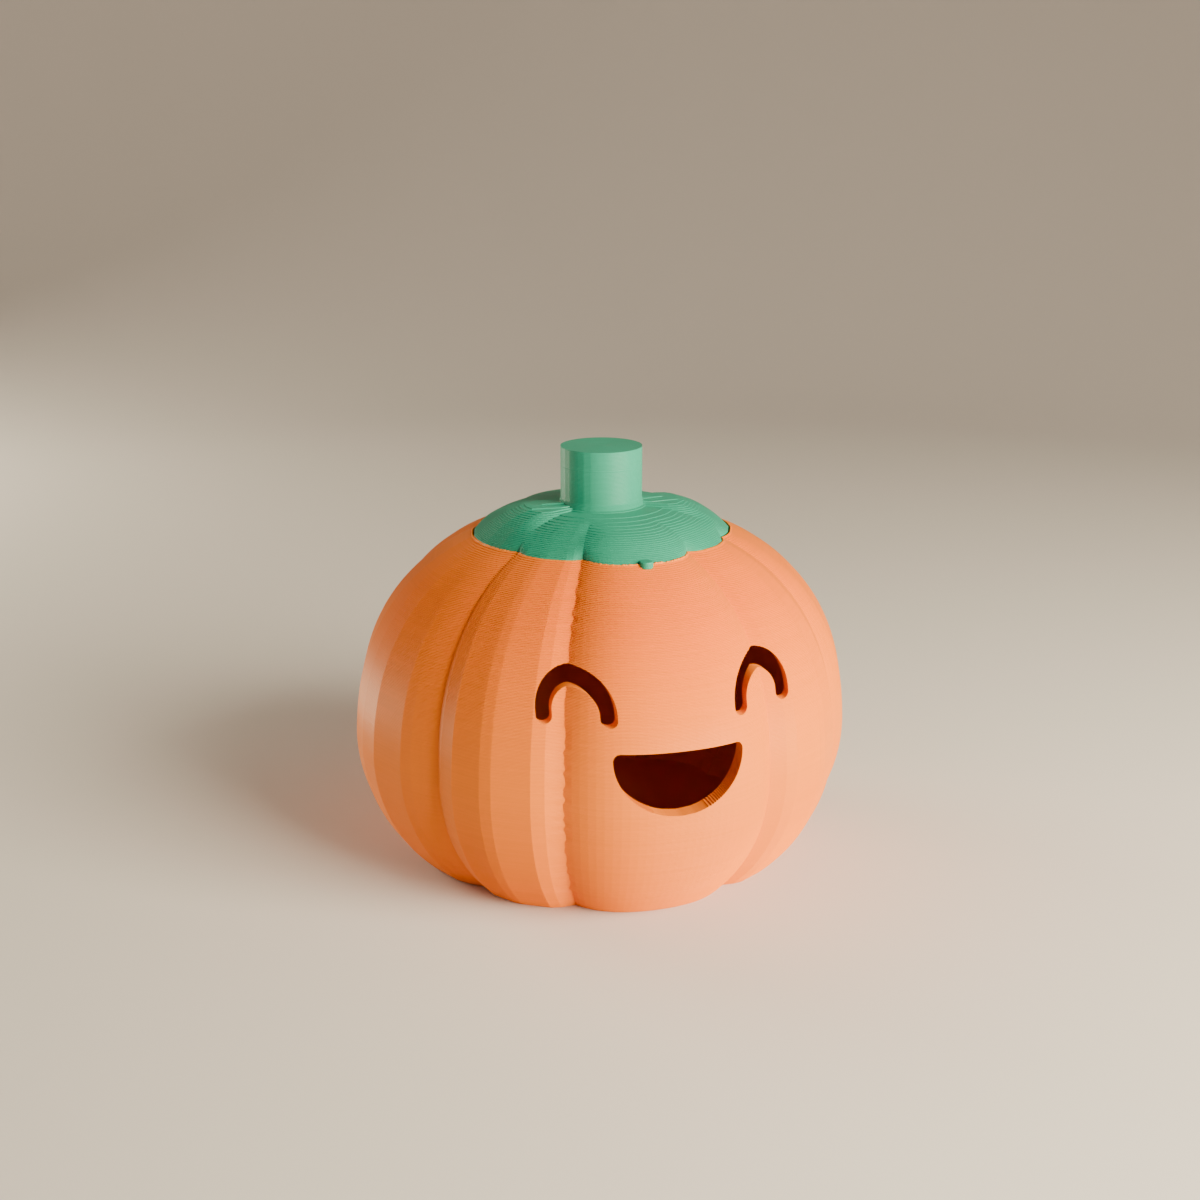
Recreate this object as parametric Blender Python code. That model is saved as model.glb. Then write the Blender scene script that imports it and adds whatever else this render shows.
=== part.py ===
"""Small pumpkin lantern in printed plastic: a hollow lobed body with a face, and a lid with a stem.

Metres, +Z up.  The origin is the centre of the flat base and the face looks along -Y.
Azimuths are measured from -Y towards +X, so the face lies at azimuth zero.
"""
import bpy
import bmesh
from math import cos, pi, radians, sin
from mathutils import Vector

# Lobes: eight of them, mirrored about the plane of the face, parted by grooves
FRONT_LOBE_WIDTH = radians(47.4)
SIDE_LOBE_WIDTH = radians(33.2)
WIDE_LOBE_WIDTH = radians(61.0)
BACK_LOBE_WIDTH = 2 * pi - FRONT_LOBE_WIDTH - 4 * SIDE_LOBE_WIDTH - 2 * WIDE_LOBE_WIDTH
LOBE_WIDTHS = (
    FRONT_LOBE_WIDTH, SIDE_LOBE_WIDTH, WIDE_LOBE_WIDTH, SIDE_LOBE_WIDTH,
    BACK_LOBE_WIDTH, SIDE_LOBE_WIDTH, WIDE_LOBE_WIDTH, SIDE_LOBE_WIDTH,
)
LOBE_ROUNDNESS = 3.0          # exponent of a lobe's arch across its width
FACET_ANGLE = radians(4.4)    # angle of one facet round the body, about

# How far a lobe's crest stands out of the grooves, up to the widest height and at the hole's rim
FRONT_LOBE_BULGE = (0.00260, 0.00334)
SIDE_LOBE_BULGE = (0.00210, 0.00125)
WIDE_LOBE_BULGE = (0.00260, 0.00125)
LOBE_BULGES = (
    FRONT_LOBE_BULGE, SIDE_LOBE_BULGE, WIDE_LOBE_BULGE, SIDE_LOBE_BULGE,
    FRONT_LOBE_BULGE, SIDE_LOBE_BULGE, WIDE_LOBE_BULGE, SIDE_LOBE_BULGE,
)

# Body: a squashed ball, measured in the grooves
GROOVE_RADIUS = 0.03783
WIDEST_HEIGHT = 0.02131
UPPER_HEIGHT = 0.03472        # half-axis above the widest height
LOWER_HEIGHT = 0.03121        # half-axis below it
UPPER_POWER = 2.391
LOWER_POWER = 2.025
RIM_HEIGHT = 0.05274
WALL = 0.00272
FLOOR = 0.00251
BODY_RINGS = 14
RING_MARGIN = 0.12            # part of the half turn, at each end, that the rings' spacing leaves out

# Hole in the top: a tapered seat that ends in a narrow lip
SEAT_DEPTH = 0.00303
SEAT_TAPER = 0.00209          # how far the seat closes in over its depth
LID_GAP = 0.00035

# Lid: a low lobed dome with a round stem
DOME_HEIGHT = 0.00423         # over the rim, in the grooves
DOME_POWERS = (2.9, 2.2)      # exponents of the groove's curve, along the radius and along the height
CREST_POWER = 3.95            # exponent of the crest's curve
FRONT_LOBE_RISE = 0.00063     # how much higher a lobe's crest reaches
SIDE_LOBE_RISE = 0.00031
WIDE_LOBE_RISE = 0.00188
LOBE_RISES = (
    FRONT_LOBE_RISE, SIDE_LOBE_RISE, WIDE_LOBE_RISE, SIDE_LOBE_RISE,
    FRONT_LOBE_RISE, SIDE_LOBE_RISE, WIDE_LOBE_RISE, SIDE_LOBE_RISE,
)
DOME_RINGS = 9
DOME_RING_POWER = 0.8         # below one, the dome's rings lie closer together near the rim
STEM_RADIUS = 0.00652
STEM_TOP = 0.06642
STEM_FLARE = 0.00042
STEM_BLEND = 0.00470          # width of the ring round the stem where the lobes fade out

# Face cut-outs, each cut straight through the front wall along Y
EYE_OFFSET = 0.01420
EYE_BASE = 0.03488            # height at which the arch of an eye springs
EYE_OUTER = (0.00533, 0.00611)  # half-width and rise of the outer curve
EYE_INNER = (0.00303, 0.00324)
EYE_LEG = 0.00063
MOUTH_TOP = 0.02956
MOUTH_RADIUS = 0.00987
MOUTH_CORNER = 0.00125
CUT_FRONT = -0.052
CUT_BACK = -0.0157
ARC_STEPS = 12

ORANGE = (0.86, 0.18, 0.012, 1.0)
GREEN = (0.02, 0.22, 0.13, 1.0)
ROUGHNESS = 0.5
SHARP_ANGLE = radians(30)     # edges steeper than this stay sharp

MERGE_DISTANCE = 1e-6
AXIS_RADIUS = 1e-5            # corners nearer to the axis than this lie on it


def clear_scene():
    for item in list(bpy.data.objects):
        bpy.data.objects.remove(item, do_unlink=True)


def plastic(name, colour):
    material = bpy.data.materials.new(name)
    material.use_nodes = True
    shader = material.node_tree.nodes["Principled BSDF"]
    shader.inputs["Base Color"].default_value = colour
    shader.inputs["Roughness"].default_value = ROUGHNESS
    return material


def blend(start, end, share):
    share = min(1.0, max(0.0, share))
    return start + (end - start) * share


def facet_table():
    """For each facet corner round the body: azimuth, lobe number and place across it (0 to 1)."""
    table = []
    start = -FRONT_LOBE_WIDTH / 2
    for lobe, width in enumerate(LOBE_WIDTHS):
        count = 2 * round(width / FACET_ANGLE / 2)
        for step in range(count):
            table.append((start + width * step / count, lobe, step / count))
        start += width
    return table


def arch(across):
    """Height of a lobe across its width: zero in the grooves, one at the crest."""
    return 1.0 - abs(2 * across - 1) ** LOBE_ROUNDNESS


def bulge(lobe, height):
    at_middle, at_rim = LOBE_BULGES[lobe]
    return blend(at_middle, at_rim, (height - WIDEST_HEIGHT) / (RIM_HEIGHT - WIDEST_HEIGHT))


def ball_radius(height, inset=0.0):
    """Radius of the squashed ball in the grooves, or of the same ball one inset further in."""
    rise = height - WIDEST_HEIGHT
    if rise > 0:
        half_axis, power = UPPER_HEIGHT - inset, UPPER_POWER
    else:
        half_axis, power = LOWER_HEIGHT - inset, LOWER_POWER
    share = min(1.0, abs(rise) / half_axis)
    return (GROOVE_RADIUS - inset) * (1 - share ** power) ** (1 / power)


def ring_heights(low, high, count):
    """Heights from low to high, closer together towards both ends."""
    middle = (low + high) / 2
    reach = (high - low) / 2 / cos(pi * RING_MARGIN)
    heights = []
    for step in range(count + 1):
        share = RING_MARGIN + (1 - 2 * RING_MARGIN) * step / count
        heights.append(middle - reach * cos(pi * share))
    return heights


def body_outline():
    """Closed half-section of the body in a groove, from the middle of the base round to the inner floor."""
    rim = ball_radius(RIM_HEIGHT)
    seat_foot = RIM_HEIGHT - SEAT_DEPTH
    outer_heights = ring_heights(0.0, RIM_HEIGHT, BODY_RINGS)
    inner_heights = ring_heights(FLOOR, seat_foot, BODY_RINGS - 2)
    outer = [(ball_radius(height), height) for height in outer_heights]
    inner = [(ball_radius(height, WALL), height) for height in inner_heights]
    return [(0.0, 0.0)] + outer + [(rim - SEAT_TAPER, seat_foot)] + inner[::-1] + [(0.0, FLOOR)]


def groove_height(share):
    """Height of the lid's dome in a groove, at a share of the rim's radius."""
    outward, upward = DOME_POWERS
    return RIM_HEIGHT + DOME_HEIGHT * (1 - share ** outward) ** (1 / upward)


def crest_height(share, rise):
    """Height of the lid's dome on a lobe's crest, at a share of the rim's radius."""
    return RIM_HEIGHT + (DOME_HEIGHT + rise) * (1 - share ** CREST_POWER)


def lid_outline():
    """Half-section of the lid in a groove, from its underside's middle to the middle of the stem's top."""
    rim = ball_radius(RIM_HEIGHT) - LID_GAP
    foot = RIM_HEIGHT - SEAT_DEPTH
    flare = STEM_RADIUS + STEM_FLARE
    outline = [(0.0, foot), (rim - SEAT_TAPER, foot), (rim, RIM_HEIGHT)]
    for step in range(1, DOME_RINGS + 1):
        radius = flare + (rim - flare) * cos(pi / 2 * step / DOME_RINGS) ** DOME_RING_POWER
        outline.append((radius, groove_height(radius / rim)))
    stem_foot = groove_height(STEM_RADIUS / rim) + STEM_FLARE
    return outline + [(STEM_RADIUS, stem_foot), (STEM_RADIUS, STEM_TOP), (0.0, STEM_TOP)]


def spin_outline(outline, facets):
    """Turn a half-section about Z with bmesh, one step for each facet."""
    mesh = bmesh.new()
    corners = [mesh.verts.new((0.0, -radius, height)) for radius, height in outline]
    edges = [mesh.edges.new(pair) for pair in zip(corners, corners[1:])]
    bmesh.ops.spin(
        mesh, geom=corners + edges, cent=(0, 0, 0), axis=(0, 0, 1),
        angle=2 * pi, steps=len(facets), use_merge=True, use_duplicate=False,
    )
    bmesh.ops.remove_doubles(mesh, verts=mesh.verts, dist=MERGE_DISTANCE)
    bmesh.ops.recalc_face_normals(mesh, faces=mesh.faces)
    return mesh


def shape_lobes(mesh, facets, place):
    """Move each spun corner to its facet's azimuth, at the radius and height that place() gives it."""
    step_angle = 2 * pi / len(facets)
    for corner in mesh.verts:
        radius = Vector((corner.co.x, corner.co.y)).length
        if radius < AXIS_RADIUS:
            continue
        turned = Vector((0.0, -1.0)).angle_signed(Vector((corner.co.x, corner.co.y)))
        azimuth, lobe, across = facets[round(-turned / step_angle) % len(facets)]
        radius, height = place(radius, corner.co.z, lobe, arch(across))
        corner.co = (radius * sin(azimuth), -radius * cos(azimuth), height)


def place_on_body(radius, height, lobe, lift):
    return radius + bulge(lobe, height) * lift, height


def place_on_lid(radius, height, lobe, lift):
    """The lid's lobes line up with the body's and end at the stem, which stays round."""
    if height > STEM_TOP - STEM_FLARE:
        return radius, height
    share = min(1.0, radius / (ball_radius(RIM_HEIGHT) - LID_GAP))
    away = blend(0.0, 1.0, (radius - STEM_RADIUS - STEM_FLARE) / STEM_BLEND)
    swell = bulge(lobe, RIM_HEIGHT) * share * away
    if height > RIM_HEIGHT:
        height += (crest_height(share, LOBE_RISES[lobe]) - groove_height(share)) * lift
    return radius + swell * lift, height


def add_object(name, mesh, material):
    data = bpy.data.meshes.new(name)
    mesh.to_mesh(data)
    mesh.free()
    thing = bpy.data.objects.new(name, data)
    bpy.context.scene.collection.objects.link(thing)
    data.materials.append(material)
    data.shade_smooth()
    data.set_sharp_from_angle(angle=SHARP_ANGLE)
    return thing


def curve_points(centre, half_size, start, end):
    """Points of an elliptic arc in the plane of the face, from angle start to angle end."""
    points = []
    for step in range(ARC_STEPS + 1):
        angle = start + (end - start) * step / ARC_STEPS
        points.append((centre[0] + half_size[0] * cos(angle), centre[1] + half_size[1] * sin(angle)))
    return points


def eye_outline(side):
    """An arch with round feet: the outer curve, one foot, the inner curve and the other foot."""
    middle = side * EYE_OFFSET
    spring = (middle, EYE_BASE)
    foot_radius = (EYE_OUTER[0] - EYE_INNER[0]) / 2
    foot_reach = (EYE_OUTER[0] + EYE_INNER[0]) / 2
    foot_height = EYE_BASE - EYE_LEG
    foot_size = (foot_radius, foot_radius)
    outline = curve_points(spring, EYE_OUTER, 0, pi)
    outline += curve_points((middle - foot_reach, foot_height), foot_size, pi, 2 * pi)
    outline += curve_points(spring, EYE_INNER, pi, 0)
    outline += curve_points((middle + foot_reach, foot_height), foot_size, pi, 2 * pi)
    return outline


def mouth_outline():
    """A half disc with its straight side up and both corners rounded."""
    reach = MOUTH_RADIUS - MOUTH_CORNER
    corner_height = MOUTH_TOP - MOUTH_CORNER
    corner_size = (MOUTH_CORNER, MOUTH_CORNER)
    outline = curve_points((reach, corner_height), corner_size, 0, pi / 2)
    outline += curve_points((-reach, corner_height), corner_size, pi / 2, pi)
    smile_size = (MOUTH_RADIUS, MOUTH_RADIUS - MOUTH_CORNER)
    outline += curve_points((0.0, corner_height), smile_size, pi, 2 * pi)[1:-1]
    return outline


def cutter(name, outline, material):
    """A prism along Y that reaches through the front wall only."""
    mesh = bmesh.new()
    corners = [mesh.verts.new((x, CUT_FRONT, z)) for x, z in outline]
    bmesh.ops.remove_doubles(mesh, verts=mesh.verts, dist=MERGE_DISTANCE)
    face = mesh.faces.new([corner for corner in corners if corner.is_valid])
    pushed = bmesh.ops.extrude_face_region(mesh, geom=[face])
    moved = [item for item in pushed["geom"] if isinstance(item, bmesh.types.BMVert)]
    bmesh.ops.translate(mesh, verts=moved, vec=(0.0, CUT_BACK - CUT_FRONT, 0.0))
    bmesh.ops.recalc_face_normals(mesh, faces=mesh.faces)
    thing = add_object(name, mesh, material)
    thing.hide_render = True
    thing.display_type = "WIRE"
    return thing


def cut(thing, tool):
    modifier = thing.modifiers.new(tool.name, "BOOLEAN")
    modifier.operation = "DIFFERENCE"
    modifier.solver = "EXACT"
    modifier.object = tool


def make_body(facets, material):
    mesh = spin_outline(body_outline(), facets)
    shape_lobes(mesh, facets, place_on_body)
    body = add_object("pumpkin_body", mesh, material)
    cut(body, cutter("left_eye_cutter", eye_outline(-1), material))
    cut(body, cutter("right_eye_cutter", eye_outline(1), material))
    cut(body, cutter("mouth_cutter", mouth_outline(), material))


def make_lid(facets, material):
    mesh = spin_outline(lid_outline(), facets)
    shape_lobes(mesh, facets, place_on_lid)
    add_object("stem_lid", mesh, material)


def main():
    clear_scene()
    facets = facet_table()
    make_body(facets, plastic("orange_plastic", ORANGE))
    make_lid(facets, plastic("green_plastic", GREEN))


main()
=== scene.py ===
"""Printed plastic pumpkin lantern: the orange body and the green lid, layer by layer, on a plain studio floor.

Metres, +Z up.  The face looks along -Y.  Azimuths run from -Y towards +X.
"""
import random
from math import atan2, cos, floor, pi, radians, sin

import bmesh
import bpy
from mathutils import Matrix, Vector


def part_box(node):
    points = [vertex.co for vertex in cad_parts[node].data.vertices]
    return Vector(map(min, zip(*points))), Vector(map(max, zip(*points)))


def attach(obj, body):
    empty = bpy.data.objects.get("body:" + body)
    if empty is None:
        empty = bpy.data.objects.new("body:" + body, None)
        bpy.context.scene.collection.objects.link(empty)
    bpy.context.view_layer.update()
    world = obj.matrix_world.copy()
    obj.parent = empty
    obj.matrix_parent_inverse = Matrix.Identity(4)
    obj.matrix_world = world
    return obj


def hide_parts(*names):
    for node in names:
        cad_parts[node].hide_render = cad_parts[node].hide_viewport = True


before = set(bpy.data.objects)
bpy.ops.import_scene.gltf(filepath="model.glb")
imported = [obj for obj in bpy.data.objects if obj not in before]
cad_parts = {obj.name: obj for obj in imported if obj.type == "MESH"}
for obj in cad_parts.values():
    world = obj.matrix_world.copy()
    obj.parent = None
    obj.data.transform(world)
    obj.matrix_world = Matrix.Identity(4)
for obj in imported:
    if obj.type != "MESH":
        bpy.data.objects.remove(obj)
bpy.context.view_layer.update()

bl_info = {
    "name": "Printed pumpkin lantern",
    "version": (1, 0, 0),
    "blender": (4, 5, 0),
    "location": "3D View > Sidebar > Lantern",
    "description": "Builds a pumpkin lantern as a layered plastic print, with its loose lid and a studio floor",
    "category": "Add Mesh",
}

RIM_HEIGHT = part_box("pumpkin_body")[1][2]
STEM_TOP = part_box("stem_lid")[1][2]
LID_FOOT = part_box("stem_lid")[0][2]

# Lobes, mirrored about the plane of the face: angle across, then the shares where flat facets meet
FRONT_FACETS = tuple(step / 28 for step in range(28))
SIDE_FACETS = (0.0, 0.052, 0.188, 0.424, 0.511, 0.786, 0.878)
WIDE_FACETS = (0.0, 0.026, 0.06, 0.125, 0.195, 0.40, 0.53, 0.657, 0.833, 0.885, 0.936, 0.968)
FRONT_WIDTH = radians(50.06)
SIDE_WIDTH = radians(31.87)
WIDE_WIDTH = radians(61.0)
BACK_WIDTH = 2 * pi - FRONT_WIDTH - 4 * SIDE_WIDTH - 2 * WIDE_WIDTH

# For each kind of lobe: bulge up to the widest height, bulge at the rim, extra rise of the lid's crest,
# how far it fades out on the lid on the way to the stem
FRONT_SWELL = (0.00260, 0.00334, 0.00063, 1.0)
SIDE_SWELL = (0.00210, 0.00125, 0.00031, 1.0)
WIDE_SWELL = (0.00260, 0.00125, 0.00130, 0.0)

# Angle across, facets, swell, mirrored or not
LOBES = (
    (FRONT_WIDTH, FRONT_FACETS, FRONT_SWELL, False),
    (SIDE_WIDTH, SIDE_FACETS, SIDE_SWELL, True),
    (WIDE_WIDTH, WIDE_FACETS, WIDE_SWELL, True),
    (SIDE_WIDTH, SIDE_FACETS, SIDE_SWELL, False),
    (BACK_WIDTH, FRONT_FACETS, FRONT_SWELL, False),
    (SIDE_WIDTH, SIDE_FACETS, SIDE_SWELL, True),
    (WIDE_WIDTH, WIDE_FACETS, WIDE_SWELL, False),
    (SIDE_WIDTH, SIDE_FACETS, SIDE_SWELL, False),
)

MERGE_DISTANCE = 1e-7
AXIS_RADIUS = 1e-5
ARC_STEPS = 40
HALVINGS = 24
WOBBLE_SEED = 11
SEAM_SEED = 5
RIM_SEED = 3
THINNING = (0.025, 0.034)     # heights between which the wall gets thinner
SEAM_WAVE = 4                 # layers from one turn of the seam's wave to the next
LONGEST_TREAD = 2.6           # in layers: flatter stretches of an opening are left smooth
DOME_POWERS = (2.9, 2.2)      # exponents of the lid's curve in a groove, along the radius and the height
CREST_POWER = 3.95            # exponent of the lid's curve on a crest
GROOVE_START = 0.50           # share of the rim's radius where the lid's grooves begin
GROOVE_RUN = 0.40             # share over which they reach their full depth
RISE_START = 0.35             # share where the crests' extra rise is least, and the part of it left there
RISE_RUN = 0.30
RISE_LEAST = 0.6
FLARE_HEIGHT = 0.0012
NOTCH_GAIN = 5.0              # how much deeper the notches are where the body slopes in by 45 degrees
RIM_STEPS = 720
RIM_ROOT = 0.00012            # how deep the ragged edge is rooted in the body
RIM_ROUND = 0.00004
RIM_TOUCH = 0.00003
RIM_COVER = 8.0               # how soon the ragged edge reaches over to the lid where it begins

# How ragged the rim is, from none to all, at azimuths in degrees
RAGGED_PLACES = (
    (-180, 0.0), (-100, 0.0), (-75, 0.5), (-55, 0.5), (-50, 0.15), (-26, 0.15), (-21, 0.5),
    (5, 1.0), (20, 0.7), (27, 0.15), (50, 0.1), (58, 0.0), (180, 0.0),
)
SWEEP_STEPS = 24
FLOOR_STEPS = 96
LIGHT_AIM = 0.03
LENS_SHIFT = -0.0011

# Lights: size, turn from the camera's side, angle above the floor, distance, spread of the beam
KEY_LIGHT = (0.28, radians(52), radians(22), 0.40, pi)
RIM_LIGHT = (0.20, radians(-122), radians(10), 0.50, pi)


class LanternSizes(bpy.types.PropertyGroup):
    layer: bpy.props.FloatProperty(
        name="Layer height", description="Height of one printed layer",
        default=0.0002, min=0.0001, max=0.0004, precision=5, unit="LENGTH")
    notch: bpy.props.FloatProperty(
        name="Notch", description="Depth of the notch between two layers",
        default=0.000022, min=0.0, max=0.0001, precision=6, unit="LENGTH")
    wobble: bpy.props.FloatProperty(
        name="Wobble", description="How far a layer strays in or out",
        default=0.000004, min=0.0, max=0.00005, precision=6, unit="LENGTH")
    roundness: bpy.props.FloatProperty(
        name="Lobe roundness", description="Exponent of a lobe's arch across its width",
        default=3.0, min=1.5, max=5.0)
    groove_radius: bpy.props.FloatProperty(
        name="Groove radius", description="Widest radius, measured in the grooves",
        default=0.03783, min=0.02, max=0.08, precision=5, unit="LENGTH")
    widest: bpy.props.FloatProperty(
        name="Widest height", description="Height of the widest place of the body",
        default=0.02131, min=0.01, max=0.04, precision=5, unit="LENGTH")
    upper: bpy.props.FloatProperty(
        name="Upper half-axis", description="Half-axis of the body above its widest height",
        default=0.03472, min=0.02, max=0.06, precision=5, unit="LENGTH")
    lower: bpy.props.FloatProperty(
        name="Lower half-axis", description="Half-axis of the body below its widest height",
        default=0.03121, min=0.02, max=0.06, precision=5, unit="LENGTH")
    upper_power: bpy.props.FloatProperty(
        name="Upper fullness", description="Exponent of the curve above the widest height",
        default=2.391, min=1.5, max=4.0)
    lower_power: bpy.props.FloatProperty(
        name="Lower fullness", description="Exponent of the curve below the widest height",
        default=2.025, min=1.5, max=4.0)
    wall: bpy.props.FloatProperty(
        name="Wall", description="Thickness of the body's wall",
        default=0.00272, min=0.001, max=0.005, precision=5, unit="LENGTH")
    thin_wall: bpy.props.FloatProperty(
        name="Upper wall", description="Thickness of the body's wall from the eyes upwards",
        default=0.0015, min=0.001, max=0.005, precision=5, unit="LENGTH")
    bottom: bpy.props.FloatProperty(
        name="Floor", description="Thickness of the body's floor",
        default=0.00251, min=0.001, max=0.005, precision=5, unit="LENGTH")
    seat_depth: bpy.props.FloatProperty(
        name="Seat depth", description="Depth of the lid's seat in the hole",
        default=0.00303, min=0.001, max=0.006, precision=5, unit="LENGTH")
    seat_taper: bpy.props.FloatProperty(
        name="Seat taper", description="How far the seat closes in over its depth",
        default=0.00209, min=0.0, max=0.004, precision=5, unit="LENGTH")
    gap: bpy.props.FloatProperty(
        name="Lid gap", description="Play between the lid and its seat",
        default=0.00035, min=0.0001, max=0.001, precision=5, unit="LENGTH")
    dome: bpy.props.FloatProperty(
        name="Dome height", description="Height of the lid's dome over the rim, in the grooves",
        default=0.00423, min=0.002, max=0.01, precision=5, unit="LENGTH")
    stem_radius: bpy.props.FloatProperty(
        name="Stem radius", description="Radius of the round stem",
        default=0.00652, min=0.003, max=0.012, precision=5, unit="LENGTH")
    flare: bpy.props.FloatProperty(
        name="Stem flare", description="How far the stem widens at its foot",
        default=0.00042, min=0.0, max=0.002, precision=5, unit="LENGTH")
    fade: bpy.props.FloatProperty(
        name="Lobe fade", description="Width of the ring round the stem where the lobes fade out",
        default=0.0047, min=0.001, max=0.01, precision=5, unit="LENGTH")
    line_width: bpy.props.FloatProperty(
        name="Line width", description="Width of a printed line on the flat top of the stem",
        default=0.00042, min=0.0002, max=0.001, precision=5, unit="LENGTH")
    seam: bpy.props.FloatProperty(
        name="Seam", description="How far the seam of the print strays to either side of its groove",
        default=0.00020, min=0.0, max=0.001, precision=5, unit="LENGTH")
    tab_radius: bpy.props.FloatProperty(
        name="Tab radius", description="Radius of the small round tab at the lid's front",
        default=0.00105, min=0.0005, max=0.003, precision=5, unit="LENGTH")
    tab_height: bpy.props.FloatProperty(
        name="Tab height", description="Height of the small round tab at the lid's front",
        default=0.00110, min=0.0005, max=0.003, precision=5, unit="LENGTH")
    ragged: bpy.props.FloatProperty(
        name="Ragged rim", description="Height of the highest teeth of the printed rim",
        default=0.00030, min=0.0, max=0.001, precision=5, unit="LENGTH")


class FaceSizes(bpy.types.PropertyGroup):
    eye_offset: bpy.props.FloatProperty(
        name="Eye offset", description="Distance of an eye's middle from the face's middle",
        default=0.0142, min=0.005, max=0.03, precision=5, unit="LENGTH")
    eye_base: bpy.props.FloatProperty(
        name="Eye spring", description="Height at which the arch of an eye springs",
        default=0.03488, min=0.02, max=0.05, precision=5, unit="LENGTH")
    eye_outer: bpy.props.FloatVectorProperty(
        name="Eye outer curve", description="Half-width and rise of an eye's outer curve",
        size=2, default=(0.00533, 0.00611), precision=5, unit="LENGTH")
    eye_inner: bpy.props.FloatVectorProperty(
        name="Eye inner curve", description="Half-width and rise of an eye's inner curve",
        size=2, default=(0.00303, 0.00324), precision=5, unit="LENGTH")
    eye_leg: bpy.props.FloatProperty(
        name="Eye leg", description="Length of an eye's straight foot",
        default=0.00063, min=0.0, max=0.003, precision=5, unit="LENGTH")
    mouth_top: bpy.props.FloatProperty(
        name="Mouth top", description="Height of the mouth's straight side",
        default=0.02956, min=0.02, max=0.04, precision=5, unit="LENGTH")
    mouth_radius: bpy.props.FloatProperty(
        name="Mouth radius", description="Radius of the half-round mouth",
        default=0.00987, min=0.005, max=0.02, precision=5, unit="LENGTH")
    mouth_corner: bpy.props.FloatProperty(
        name="Mouth corner", description="Radius of the mouth's corners",
        default=0.00125, min=0.0001, max=0.003, precision=5, unit="LENGTH")
    cut_front: bpy.props.FloatProperty(
        name="Cut start", description="Place along Y where the cuts start, in front of the face",
        default=-0.052, min=-0.1, max=-0.04, precision=5, unit="LENGTH")
    cut_back: bpy.props.FloatProperty(
        name="Cut end", description="Place along Y where the cuts end, inside the body",
        default=-0.0157, min=-0.03, max=0.0, precision=5, unit="LENGTH")


class PlasticFinish(bpy.types.PropertyGroup):
    orange: bpy.props.FloatVectorProperty(
        name="Orange", description="Colour of the body's plastic", subtype="COLOR",
        size=4, min=0.0, max=1.0, default=(0.90, 0.205, 0.006, 1.0))
    green: bpy.props.FloatVectorProperty(
        name="Green", description="Colour of the lid's plastic", subtype="COLOR",
        size=4, min=0.0, max=1.0, default=(0.023, 0.284, 0.20, 1.0))
    roughness: bpy.props.FloatProperty(
        name="Roughness", description="Roughness of the printed surface",
        default=0.45, min=0.0, max=1.0, subtype="FACTOR")
    gloss: bpy.props.FloatVectorProperty(
        name="Gloss", description="Strength of the reflection on the body and on the lid",
        size=2, min=0.0, max=1.0, default=(0.20, 0.25))
    variation: bpy.props.FloatProperty(
        name="Variation", description="How much the colour changes from layer to layer",
        default=0.06, min=0.0, max=1.0, subtype="FACTOR")


class StudioSettings(bpy.types.PropertyGroup):
    floor_colour: bpy.props.FloatVectorProperty(
        name="Floor colour", description="Colour of the plain studio floor", subtype="COLOR",
        size=4, min=0.0, max=1.0, default=(0.70, 0.62, 0.64, 1.0))
    floor_radius: bpy.props.FloatProperty(
        name="Floor radius", description="Radius of the flat part of the studio floor",
        default=0.40, min=0.2, max=5.0, unit="LENGTH")
    sweep_radius: bpy.props.FloatProperty(
        name="Sweep radius", description="Radius of the turn from the floor up to the wall",
        default=0.50, min=0.1, max=3.0, unit="LENGTH")
    wall_height: bpy.props.FloatProperty(
        name="Wall height", description="Height of the floor's upturned rim",
        default=1.1, min=0.2, max=4.0, unit="LENGTH")
    camera_distance: bpy.props.FloatProperty(
        name="Camera distance", description="Distance from the camera to the point it looks at",
        default=0.27154, min=0.1, max=3.0, precision=5, unit="LENGTH")
    camera_height: bpy.props.FloatProperty(
        name="Aim height", description="Height of the point the camera looks at",
        default=0.0408, min=0.0, max=0.2, precision=5, unit="LENGTH")
    camera_azimuth: bpy.props.FloatProperty(
        name="Camera azimuth", description="Direction of the camera round the lantern",
        default=radians(-16.8), unit="ROTATION")
    camera_pitch: bpy.props.FloatProperty(
        name="Camera pitch", description="How steeply the camera looks down",
        default=radians(16.35), unit="ROTATION")
    key_power: bpy.props.FloatProperty(
        name="Key light", description="Power of the large soft light from the front right",
        default=6.0, min=0.0, max=500.0, unit="POWER")
    rim_power: bpy.props.FloatProperty(
        name="Rim light", description="Power of the pale light from the back left",
        default=2.2, min=0.0, max=500.0, unit="POWER")
    light_colour: bpy.props.FloatVectorProperty(
        name="Light colour", description="Colour of both studio lights", subtype="COLOR",
        size=3, min=0.0, max=1.0, default=(1.0, 0.96, 0.66))
    sky_strength: bpy.props.FloatProperty(
        name="Sky strength", description="Strength of the even light from all round",
        default=0.0, min=0.0, max=5.0)


def blend(start, end, share):
    share = min(1.0, max(0.0, share))
    return start + (end - start) * share


def ease(share):
    """A soft step from zero to one."""
    share = min(1.0, max(0.0, share))
    return share * share * (3 - 2 * share)


def facet_corners(roundness):
    """For each facet corner round the lantern: azimuth, its lobe's swell and the lobe's arch there."""
    corners = []
    start = -FRONT_WIDTH / 2
    for width, shares, swell, mirrored in LOBES:
        places = shares
        if mirrored:
            places = tuple(1.0 - share for share in reversed(shares[1:] + (1.0,)))
        for share in places:
            arch = 1.0 - abs(2 * share - 1) ** roundness
            corners.append((start + width * share, swell, arch))
        start += width
    return corners


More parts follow.
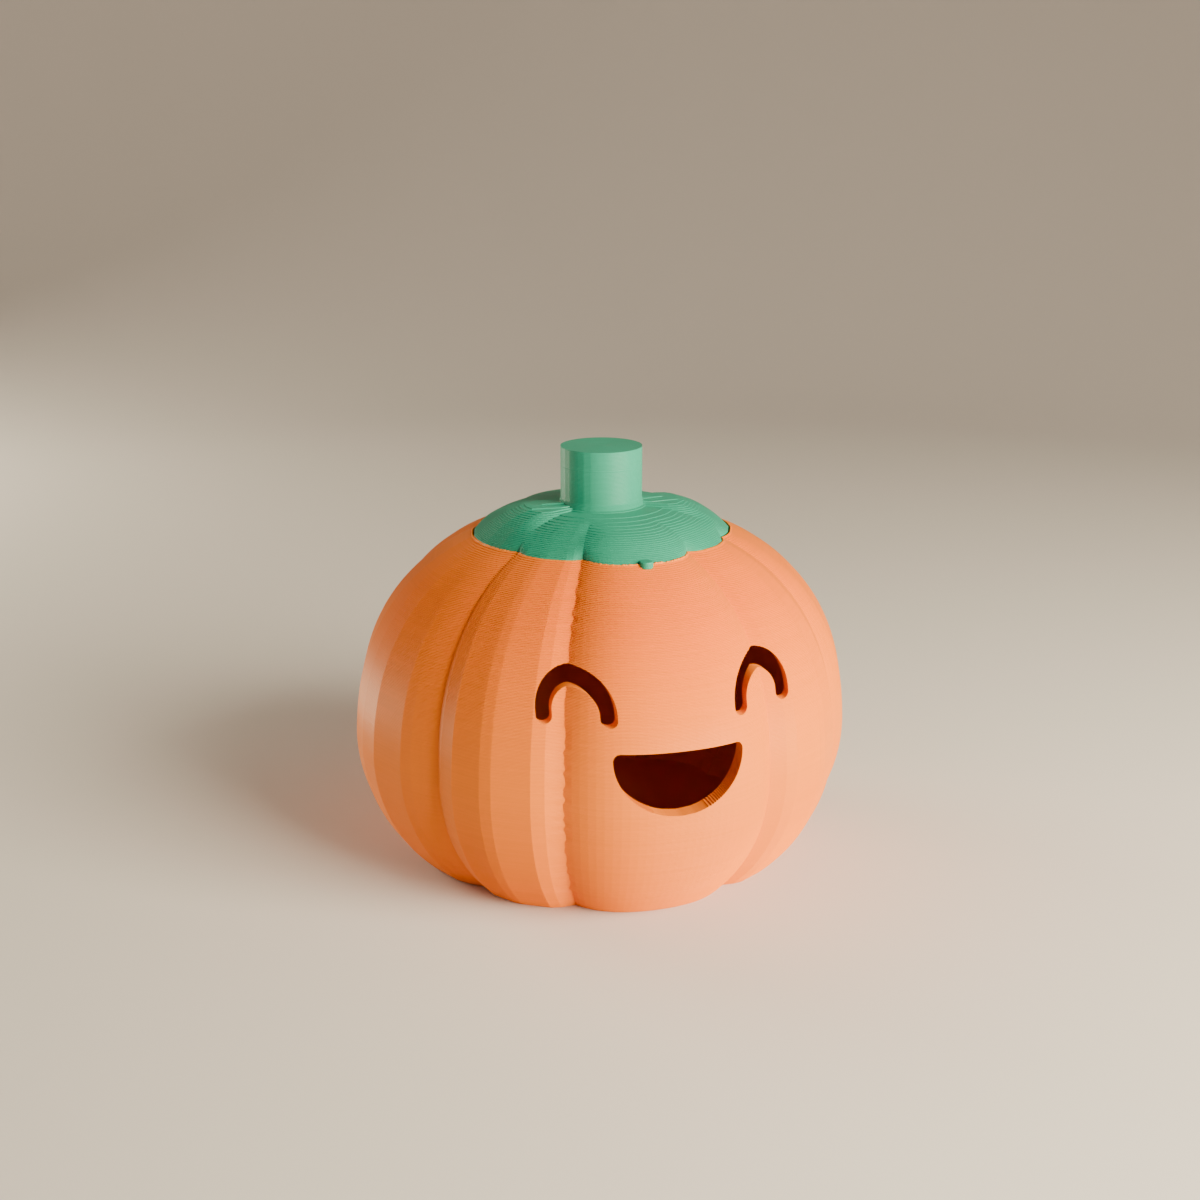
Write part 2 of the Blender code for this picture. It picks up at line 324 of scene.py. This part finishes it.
def ball_radius(sizes, height, inset=0.0):
    """Radius of the body in the grooves, or of the same ball one inset further in."""
    rise = height - sizes.widest
    if rise > 0:
        half_axis, power = sizes.upper - inset, sizes.upper_power
    else:
        half_axis, power = sizes.lower - inset, sizes.lower_power
    share = min(1.0, abs(rise) / half_axis)
    return (sizes.groove_radius - inset) * (1 - share ** power) ** (1 / power)


def inner_radius(sizes, height):
    """Radius of the hollow, whose wall gets thinner from the mouth up to the eyes."""
    low, high = THINNING
    wall = blend(sizes.wall, sizes.thin_wall, (height - low) / (high - low))
    return ball_radius(sizes, height, wall)


def body_swell(sizes, swell, height):
    return blend(swell[0], swell[1], (height - sizes.widest) / (RIM_HEIGHT - sizes.widest))


def lid_place(sizes, share, swell, arch):
    """Radius and height of the lid's surface, at a share of the rim's radius."""
    rim = ball_radius(sizes, RIM_HEIGHT) - sizes.gap
    outward, upward = DOME_POWERS
    depth = ease((share - GROOVE_START) / GROOVE_RUN)
    groove = sizes.dome * max(0.0, 1 - share ** outward) ** (1 / upward)
    shallow = (sizes.dome + SIDE_SWELL[2] * RISE_LEAST) * (1 - share ** CREST_POWER)
    rise = swell[2] * blend(RISE_LEAST, 1.0, ease((share - RISE_START) / RISE_RUN))
    crest = (sizes.dome + rise) * (1 - share ** CREST_POWER)
    base = blend(shallow, groove, depth)
    arch *= blend(1.0, depth, swell[3])
    away = blend(0.0, 1.0, (share * rim - sizes.stem_radius - sizes.flare) / sizes.fade)
    stretch = swell[1] * arch + SIDE_SWELL[1] * (1 - arch) * (1 - depth)
    return share * (rim + away * stretch), RIM_HEIGHT + base + (crest - base) * arch


def lid_radius(sizes, height, swell, arch):
    """Radius of the lid at a height: the dome where it reaches that high, else the stem."""
    up = (height - RIM_HEIGHT - sizes.dome) / FLARE_HEIGHT
    foot = sizes.stem_radius + sizes.flare * blend(1.0, 0.0, up)
    low, high = sizes.stem_radius / ball_radius(sizes, RIM_HEIGHT), 1.0
    if height >= lid_place(sizes, low, swell, arch)[1]:
        return foot
    for _ in range(HALVINGS):
        middle = (low + high) / 2
        if lid_place(sizes, middle, swell, arch)[1] > height:
            low = middle
        else:
            high = middle
    return max(foot, lid_place(sizes, low, swell, arch)[0])


def layer_rings(low, high, layer):
    """Heights of a notch and a crest for each layer between low and high, with the layer's number."""
    count = round((high - low) / layer)
    step = (high - low) / count
    rings = []
    for number in range(count):
        rings.append((low + step * (number + 0.5), number, False))
        if number < count - 1:
            rings.append((low + step * (number + 1), number, True))
    return rings


def spin_section(section, steps):
    """Turn a half-section about Z into a closed shell with one step for each facet."""
    shell = bmesh.new()
    points = [shell.verts.new((0.0, -radius, height)) for radius, height in section]
    edges = [shell.edges.new(pair) for pair in zip(points, points[1:])]
    bmesh.ops.spin(
        shell, geom=points + edges, cent=(0, 0, 0), axis=(0, 0, 1),
        angle=2 * pi, steps=steps, use_merge=True, use_duplicate=False)
    bmesh.ops.remove_doubles(shell, verts=shell.verts, dist=MERGE_DISTANCE)
    bmesh.ops.recalc_face_normals(shell, faces=shell.faces)
    return shell


def shape_facets(shell, corners, place, seam=None):
    """Move each spun point to its facet corner, at the radius that place() gives for its ring.

    The seam runs up the first corner, in the groove left of the face, and strays by what seam() gives.
    """
    step_angle = 2 * pi / len(corners)
    for point in shell.verts:
        radius = point.co.xy.length
        if radius < AXIS_RADIUS:
            continue
        turned = Vector((0.0, -1.0)).angle_signed(point.co.xy)
        number = round(-turned / step_angle) % len(corners)
        azimuth, swell, arch = corners[number]
        radius, height = place(radius, point.co.z, swell, arch)
        if seam and number == 0:
            azimuth += seam(height) / radius
        point.co = (radius * sin(azimuth), -radius * cos(azimuth), height)


def seam_wave(sizes):
    """A function that gives the seam's sideways stray at a height: a slow wave with a little jitter."""
    draw = random.Random(SEAM_SEED)
    layers = int(RIM_HEIGHT / sizes.layer) + 2
    turns = [draw.uniform(-1, 1) for _ in range(layers // SEAM_WAVE + 2)]
    jitter = [draw.uniform(-0.25, 0.25) for _ in range(layers)]

    def stray(height):
        layer = int(height / sizes.layer)
        place = height / sizes.layer / SEAM_WAVE
        before = int(place)
        wave = blend(turns[before], turns[before + 1], ease(place - before))
        return sizes.seam * (wave + jitter[layer])

    return stray


def turn_of(point):
    """Azimuth of a point, from -pi to pi."""
    return atan2(point.co.x, -point.co.y)


def raggedness(azimuth):
    for (low, before), (high, after) in zip(RAGGED_PLACES, RAGGED_PLACES[1:]):
        if azimuth <= radians(high):
            return blend(before, after, (azimuth - radians(low)) / radians(high - low))
    return RAGGED_PLACES[-1][1]


def rim_reach(corners, azimuth):
    """How far the rim stands out of the grooves' circle at an azimuth."""
    start = corners[0][0]
    azimuth = start + (azimuth - start) % (2 * pi)
    ends = corners[1:] + [(start + 2 * pi,) + corners[0][1:]]
    for (low, swell, arch), (high, _, next_arch) in zip(corners, ends):
        if low <= azimuth <= high:
            share = (azimuth - low) / (high - low)
            return swell[1] * blend(arch, next_arch, share)
    raise ValueError(f"no facet at azimuth {azimuth}")


def add_piece(name, shell, material):
    data = bpy.data.meshes.new(name)
    shell.to_mesh(data)
    shell.free()
    piece = bpy.data.objects.new(name, data)
    bpy.context.scene.collection.objects.link(piece)
    data.materials.append(material)
    return piece


def sliced(outline, layer):
    """The stepped outline that printing leaves: straight sides in each layer, level steps between layers."""
    crossings = []
    closed = outline + outline[:1]
    for (x0, z0), (x1, z1) in zip(closed, closed[1:]):
        first, last = z0 / layer - 0.5, z1 / layer - 0.5
        if floor(first) == floor(last):
            continue
        numbers = list(range(floor(min(first, last)) + 1, floor(max(first, last)) + 1))
        if last < first:
            numbers.reverse()
        for number in numbers:
            share = (number - first) / (last - first)
            crossings.append((x0 + (x1 - x0) * share, number, 1 if last > first else -1))
    steps = []
    for (x0, number, way), (x1, following, _) in zip(crossings, crossings[1:] + crossings[:1]):
        if abs(x1 - x0) > LONGEST_TREAD * layer:
            steps += [(x0, (number + 0.5) * layer), (x1, (following + 0.5) * layer)]
            continue
        height = (number + (1 if way > 0 else 0)) * layer
        if following != number:
            height = max(number, following) * layer
        steps += [(x0, height), (x1, height)]
    return steps


def arc(centre, half_size, start, end):
    points = []
    for step in range(ARC_STEPS + 1):
        angle = start + (end - start) * step / ARC_STEPS
        points.append((centre[0] + half_size[0] * cos(angle), centre[1] + half_size[1] * sin(angle)))
    return points


def eye_outline(face, side):
    """An arch with round feet: the outer curve, one foot, the inner curve and the other foot."""
    middle = side * face.eye_offset
    foot = (face.eye_outer[0] - face.eye_inner[0]) / 2
    reach = (face.eye_outer[0] + face.eye_inner[0]) / 2
    foot_height = face.eye_base - face.eye_leg
    outline = arc((middle, face.eye_base), face.eye_outer, 0, pi)
    outline += arc((middle - reach, foot_height), (foot, foot), pi, 2 * pi)
    outline += arc((middle, face.eye_base), face.eye_inner, pi, 0)
    outline += arc((middle + reach, foot_height), (foot, foot), pi, 2 * pi)
    return outline


def mouth_outline(face):
    """A half disc with its straight side up and both corners rounded."""
    corner = face.mouth_corner
    reach, height = face.mouth_radius - corner, face.mouth_top - corner
    outline = arc((reach, height), (corner, corner), 0, pi / 2)
    outline += arc((-reach, height), (corner, corner), pi / 2, pi)
    outline += arc((0.0, height), (face.mouth_radius, face.mouth_radius - corner), pi, 2 * pi)[1:-1]
    return outline


def cut_through(piece, name, outline, face, material):
    """Cut an opening along the given outline straight through the front wall and keep the result in the piece's
    mesh.
    """
    block = bmesh.new()
    points = [block.verts.new((x, face.cut_front, z)) for x, z in outline]
    block.faces.new(points)
    bmesh.ops.dissolve_degenerate(block, edges=block.edges, dist=MERGE_DISTANCE)
    pushed = bmesh.ops.extrude_face_region(block, geom=block.faces[:])
    moved = [item for item in pushed["geom"] if isinstance(item, bmesh.types.BMVert)]
    bmesh.ops.translate(block, verts=moved, vec=(0.0, face.cut_back - face.cut_front, 0.0))
    bmesh.ops.recalc_face_normals(block, faces=block.faces)
    tool = add_piece(name, block, material)
    opening = piece.modifiers.new(name, "BOOLEAN")
    opening.operation = "DIFFERENCE"
    opening.solver = "EXACT"
    opening.object = tool
    whole = piece.evaluated_get(bpy.context.evaluated_depsgraph_get())
    finished = bpy.data.meshes.new_from_object(whole)
    piece.modifiers.clear()
    plain = piece.data
    piece.data = finished
    bpy.data.meshes.remove(plain)
    block_data = tool.data
    bpy.data.objects.remove(tool, do_unlink=True)
    bpy.data.meshes.remove(block_data)
    if not piece.data.polygons:
        raise RuntimeError(f"cutting {name} left nothing of {piece.name}")


def printed_plastic(name, colour, gloss, finish):
    """Satin plastic whose colour changes a little from layer to layer, with a fine grain of bumps."""
    material = bpy.data.materials.new(name)
    material.use_nodes = True
    nodes, links = material.node_tree.nodes, material.node_tree.links
    shader = nodes["Principled BSDF"]
    shader.inputs["Roughness"].default_value = finish.roughness
    shader.inputs["IOR"].default_value = 1.46
    shader.inputs["Specular IOR Level"].default_value = gloss

    place = nodes.new("ShaderNodeTexCoord")
    stretch = nodes.new("ShaderNodeMapping")
    stretch.inputs["Scale"].default_value = (60.0, 60.0, 5000.0)
    bands = nodes.new("ShaderNodeTexNoise")
    bands.inputs["Scale"].default_value = 1.0
    bands.inputs["Detail"].default_value = 2.0
    shades = nodes.new("ShaderNodeValToRGB")
    dark = 1.0 - finish.variation
    shades.color_ramp.elements[0].position = 0.3
    shades.color_ramp.elements[0].color = (colour[0] * dark, colour[1] * dark, colour[2] * dark, 1.0)
    shades.color_ramp.elements[1].position = 0.7
    shades.color_ramp.elements[1].color = tuple(colour)
    links.new(place.outputs["Object"], stretch.inputs["Vector"])
    links.new(stretch.outputs["Vector"], bands.inputs["Vector"])
    links.new(bands.outputs["Fac"], shades.inputs["Fac"])
    links.new(shades.outputs["Color"], shader.inputs["Base Color"])

    grain = nodes.new("ShaderNodeTexNoise")
    grain.inputs["Scale"].default_value = 2600.0
    grain.inputs["Detail"].default_value = 3.0
    relief = nodes.new("ShaderNodeBump")
    relief.inputs["Strength"].default_value = 0.25
    relief.inputs["Distance"].default_value = 0.00002
    links.new(place.outputs["Object"], grain.inputs["Vector"])
    links.new(grain.outputs["Fac"], relief.inputs["Height"])
    links.new(relief.outputs["Normal"], shader.inputs["Normal"])
    return material


class LANTERN_OT_body(bpy.types.Operator):
    """Build the orange body: layered lobes, the seat for the lid, and the face cut through the wall"""
    bl_idname = "lantern.body"
    bl_label = "Orange body"

    def execute(self, context):
        sizes, face, finish = context.scene.lantern_sizes, context.scene.lantern_face, context.scene.lantern_finish
        corners = facet_corners(sizes.roundness)
        stray = random.Random(WOBBLE_SEED)
        seat_foot = RIM_HEIGHT - sizes.seat_depth
        rim = ball_radius(sizes, RIM_HEIGHT)
        section = [(0.0, 0.0), (ball_radius(sizes, 0.0), 0.0)]
        for height, _, notched in layer_rings(0.0, RIM_HEIGHT, sizes.layer):
            radius = ball_radius(sizes, height) + sizes.wobble * stray.uniform(-1, 1)
            if notched:
                half = sizes.layer / 2
                below, above = ball_radius(sizes, height - half), ball_radius(sizes, height + half)
                slope = max(0.0, below - above) / sizes.layer
                radius = min(below, above) - sizes.notch * blend(1.0, NOTCH_GAIN, slope)
            section.append((radius, height))
        section += [(rim, RIM_HEIGHT), (rim - sizes.seat_taper, seat_foot)]
        inner = layer_rings(sizes.bottom, seat_foot, 4 * sizes.layer)
        section += [(inner_radius(sizes, height), height) for height, _, _ in reversed(inner)]
        section += [(inner_radius(sizes, sizes.bottom), sizes.bottom), (0.0, sizes.bottom)]

        shell = spin_section(section, len(corners))
        shape_facets(shell, corners, lambda radius, height, swell, arch: (
            radius + body_swell(sizes, swell, height) * arch, height), seam_wave(sizes))
        orange = printed_plastic("orange printed plastic", finish.orange, finish.gloss[0], finish)
        body = add_piece("printed_body", shell, orange)
        cut_through(body, "left_eye", eye_outline(face, -1), face, orange)
        cut_through(body, "right_eye", eye_outline(face, 1), face, orange)
        cut_through(body, "mouth", sliced(mouth_outline(face), sizes.layer), face, orange)
        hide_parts("pumpkin_body")
        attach(body, "root")
        return {"FINISHED"}


class LANTERN_OT_rim(bpy.types.Operator):
    """Build the ragged edge that the last printed layers of the body leave round the lid"""
    bl_idname = "lantern.rim"
    bl_label = "Ragged rim"

    def execute(self, context):
        sizes, finish = context.scene.lantern_sizes, context.scene.lantern_finish
        corners = facet_corners(sizes.roundness)
        draw = random.Random(RIM_SEED)
        edge = bmesh.new()
        bmesh.ops.create_circle(edge, segments=RIM_STEPS, radius=1.0)
        first = list(edge.edges)
        loops = [first]
        for _ in range(3):
            pushed = bmesh.ops.extrude_edge_only(edge, edges=loops[-1])["geom"]
            loops.append([item for item in pushed if isinstance(item, bmesh.types.BMEdge) and item.is_boundary])
        bmesh.ops.bridge_loops(edge, edges=loops[0] + loops[-1])
        rings = [sorted({point for item in loop for point in item.verts}, key=turn_of) for loop in loops]
        rim = ball_radius(sizes, RIM_HEIGHT)
        tall = 0.0
        for step in range(RIM_STEPS):
            azimuth = turn_of(rings[0][step])
            share = raggedness(azimuth)
            tall = blend(tall, draw.uniform(0.0, 1.0), 0.8)
            top = RIM_HEIGHT + sizes.ragged * tall * share
            outer = rim + rim_reach(corners, azimuth)
            inner = blend(outer, outer - sizes.gap - RIM_TOUCH, share * RIM_COVER)
            section = (
                (outer + RIM_ROOT, RIM_HEIGHT - RIM_ROOT),
                (outer - RIM_ROUND, top),
                (inner, top - RIM_ROUND),
                (outer - RIM_ROUND, RIM_HEIGHT - 2 * RIM_ROOT),
            )
            for ring, (radius, height) in zip(rings, section):
                ring[step].co = (radius * sin(azimuth), -radius * cos(azimuth), height)
        bmesh.ops.recalc_face_normals(edge, faces=edge.faces)
        orange = printed_plastic("orange rim plastic", finish.orange, finish.gloss[0], finish)
        lip = add_piece("printed_rim", edge, orange)
        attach(lip, "root")
        return {"FINISHED"}


class LANTERN_OT_lid(bpy.types.Operator):
    """Build the green lid: a stepped dome with lobes, and the stem with the lines of its flat top"""
    bl_idname = "lantern.lid"
    bl_label = "Green lid"

    def execute(self, context):
        sizes, finish = context.scene.lantern_sizes, context.scene.lantern_finish
        corners = facet_corners(sizes.roundness)
        rim = ball_radius(sizes, RIM_HEIGHT) - sizes.gap
        section = [(0.0, LID_FOOT), (rim - sizes.seat_taper, LID_FOOT), (rim, RIM_HEIGHT)]
        rings = layer_rings(RIM_HEIGHT, STEM_TOP, sizes.layer)
        notches = {round(height, 7) for height, _, notched in rings if notched}
        section += [(sizes.stem_radius + sizes.flare, height) for height, _, _ in rings]
        section.append((sizes.stem_radius, STEM_TOP))
        lines = int(sizes.stem_radius / sizes.line_width)
        for number in range(1, lines):
            radius = sizes.stem_radius - number * sizes.line_width
            section.append((radius + sizes.line_width / 2, STEM_TOP - sizes.notch))
            section.append((radius, STEM_TOP))
        section.append((0.0, STEM_TOP))

        def place(radius, height, swell, arch):
            if height <= RIM_HEIGHT:
                return radius + swell[1] * arch * radius / rim, height
            if height >= STEM_TOP - sizes.notch * 1.5:
                return radius, height
            if round(height, 7) in notches:
                half = sizes.layer / 2
                above = lid_radius(sizes, height + half, swell, arch)
                below = lid_radius(sizes, height - half, swell, arch)
                return min(above, below) - sizes.notch, height
            return lid_radius(sizes, height, swell, arch), height

        shell = spin_section(section, len(corners))
        shape_facets(shell, corners, place)
        green = printed_plastic("green printed plastic", finish.green, finish.gloss[1], finish)
        lid = add_piece("printed_lid", shell, green)
        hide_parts("stem_lid")
        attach(lid, "root")
        return {"FINISHED"}


class LANTERN_OT_tab(bpy.types.Operator):
    """Build the small tab of the lid that shows which way round it goes"""
    bl_idname = "lantern.tab"
    bl_label = "Lid tab"

    def execute(self, context):
        sizes, finish = context.scene.lantern_sizes, context.scene.lantern_finish
        place = ball_radius(sizes, RIM_HEIGHT) + FRONT_SWELL[1]
        tab = bmesh.new()
        bmesh.ops.create_cone(
            tab, cap_ends=True, segments=32, radius1=sizes.tab_radius, radius2=sizes.tab_radius,
            depth=sizes.tab_height)
        rims = [item for item in tab.edges if len({round(point.co.z, 7) for point in item.verts}) == 1]
        bmesh.ops.bevel(
            tab, geom=rims, offset=sizes.layer, segments=2, profile=0.5, affect="EDGES", material=-1)
        bmesh.ops.translate(tab, verts=tab.verts, vec=(0.0, -place, RIM_HEIGHT))
        bmesh.ops.recalc_face_normals(tab, faces=tab.faces)
        green = printed_plastic("green tab plastic", finish.green, finish.gloss[1], finish)
        piece = add_piece("lid_tab", tab, green)
        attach(piece, "root")
        return {"FINISHED"}


class LANTERN_OT_stage(bpy.types.Operator):
    """Set up the plain pale floor, the soft studio lights and the camera"""
    bl_idname = "lantern.stage"
    bl_label = "Studio"

    def execute(self, context):
        studio = context.scene.lantern_studio
        flat, turn = studio.floor_radius, studio.sweep_radius
        section = [(0.0, 0.0), (flat, 0.0)]
        for step in range(1, SWEEP_STEPS + 1):
            angle = pi / 2 * step / SWEEP_STEPS
            section.append((flat + turn * sin(angle), turn * (1 - cos(angle))))
        section.append((flat + turn, studio.wall_height))
        shell = bmesh.new()
        points = [shell.verts.new((0.0, -radius, height)) for radius, height in section]
        edges = [shell.edges.new(pair) for pair in zip(points, points[1:])]
        bmesh.ops.spin(
            shell, geom=points + edges, cent=(0, 0, 0), axis=(0, 0, 1),
            angle=2 * pi, steps=FLOOR_STEPS, use_merge=True, use_duplicate=False)
        bmesh.ops.remove_doubles(shell, verts=shell.verts, dist=MERGE_DISTANCE)
        bmesh.ops.recalc_face_normals(shell, faces=shell.faces)
        if sum(face.normal.z * face.calc_area() for face in shell.faces) < 0:
            bmesh.ops.reverse_faces(shell, faces=shell.faces[:])
        paper = bpy.data.materials.new("studio paper")
        paper.use_nodes = True
        coat = paper.node_tree.nodes["Principled BSDF"]
        coat.inputs["Base Color"].default_value = studio.floor_colour
        coat.inputs["Roughness"].default_value = 0.8
        backdrop = add_piece("studio_floor", shell, paper)
        backdrop.data.shade_smooth()

        self.add_light("key_light", studio.key_power, *KEY_LIGHT, studio.light_colour)
        self.add_light("rim_light", studio.rim_power, *RIM_LIGHT, studio.light_colour)
        sky = bpy.data.worlds.new("even sky")
        sky.use_nodes = True
        sky.node_tree.nodes["Background"].inputs["Color"].default_value = (1.0, 0.97, 0.94, 1.0)
        sky.node_tree.nodes["Background"].inputs["Strength"].default_value = studio.sky_strength
        context.scene.world = sky

        lens = bpy.data.cameras.new("studio_camera")
        lens.lens, lens.sensor_width, lens.clip_start = 50.0, 36.0, 0.01
        lens.shift_x = LENS_SHIFT
        camera = bpy.data.objects.new("studio_camera", lens)
        context.scene.collection.objects.link(camera)
        aim = Vector((0.0, 0.0, studio.camera_height))
        azimuth, pitch = studio.camera_azimuth, studio.camera_pitch
        away = Vector((cos(pitch) * sin(azimuth), -cos(pitch) * cos(azimuth), sin(pitch)))
        camera.location = aim + away * studio.camera_distance
        camera.rotation_euler = (-away).to_track_quat("-Z", "Y").to_euler()
        context.scene.camera = camera
        return {"FINISHED"}

    def add_light(self, name, power, size, turn, height, distance, spread, colour):
        """A square soft light, turned round the lantern from the camera's side and raised by an angle."""
        lamp = bpy.data.lights.new(name, "AREA")
        lamp.energy, lamp.size, lamp.spread, lamp.color = power, size, spread, colour
        light = bpy.data.objects.new(name, lamp)
        bpy.context.scene.collection.objects.link(light)
        azimuth = bpy.context.scene.lantern_studio.camera_azimuth + turn
        away = Vector((cos(height) * sin(azimuth), -cos(height) * cos(azimuth), sin(height)))
        light.location = Vector((0.0, 0.0, LIGHT_AIM)) + away * distance
        light.rotation_euler = (-away).to_track_quat("-Z", "Y").to_euler()
        light.visible_camera = False


class LANTERN_PT_panel(bpy.types.Panel):
    """Lists the lantern's pieces and their sizes"""
    bl_idname = "LANTERN_PT_panel"
    bl_label = "Pumpkin lantern"
    bl_space_type = "VIEW_3D"
    bl_region_type = "UI"
    bl_category = "Lantern"

    def draw(self, context):
        for operator in OPERATORS:
            self.layout.operator(operator.bl_idname)
        for group in (context.scene.lantern_sizes, context.scene.lantern_face,
                      context.scene.lantern_finish, context.scene.lantern_studio):
            box = self.layout.box()
            for name in group.__annotations__:
                box.prop(group, name)


OPERATORS = (LANTERN_OT_body, LANTERN_OT_rim, LANTERN_OT_lid, LANTERN_OT_tab, LANTERN_OT_stage)
GROUPS = {
    "lantern_sizes": LanternSizes, "lantern_face": FaceSizes,
    "lantern_finish": PlasticFinish, "lantern_studio": StudioSettings,
}


def register():
    for item in tuple(GROUPS.values()) + OPERATORS + (LANTERN_PT_panel,):
        bpy.utils.register_class(item)
    for name, group in GROUPS.items():
        setattr(bpy.types.Scene, name, bpy.props.PointerProperty(type=group))


def unregister():
    for name in GROUPS:
        delattr(bpy.types.Scene, name)
    for item in (LANTERN_PT_panel,) + OPERATORS[::-1] + tuple(GROUPS.values()):
        bpy.utils.unregister_class(item)


def main():
    register()
    bpy.ops.lantern.body()
    bpy.ops.lantern.rim()
    bpy.ops.lantern.lid()
    bpy.ops.lantern.tab()
    bpy.ops.lantern.stage()


if __name__ == "__main__":
    main()
